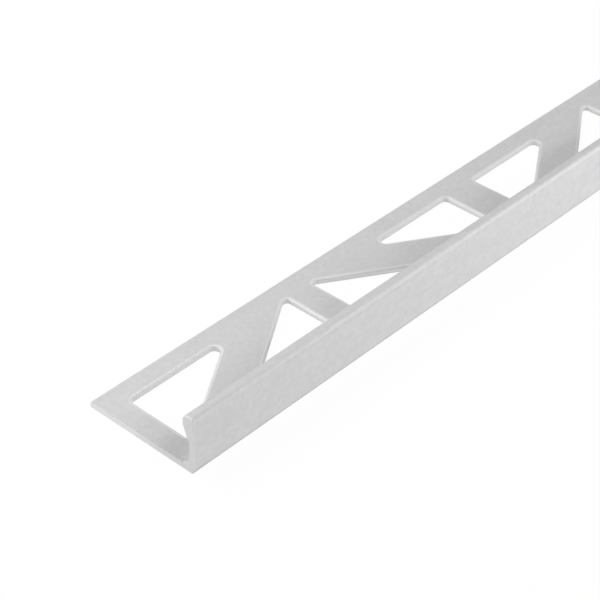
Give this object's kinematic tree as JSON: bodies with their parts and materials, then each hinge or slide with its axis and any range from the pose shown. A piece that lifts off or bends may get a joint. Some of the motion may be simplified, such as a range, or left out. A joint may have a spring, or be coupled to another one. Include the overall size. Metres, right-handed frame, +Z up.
{
  "type": "tile edge trim",
  "caption": "Straight-edge tile trim: a long L-shaped aluminium strip with a rounded lip on its upright and a flat leg punched with slanted holes for tile adhesive.",
  "frame": {"origin": "middle of the underside's bounding rectangle, on the floor that the leg lies on", "axes": "+X along the length, with the end that the picture shows at -X; the finished face of the upright looks to -Y and the leg's back edge is at +Y; +Z up"},
  "size_m": [1, 0.021, 0.01],
  "materials": {
    "satin_aluminium": "satin natural anodised"
  },
  "bodies": {
    "root": {"trim": "satin_aluminium"}
  },
  "joints": []
}
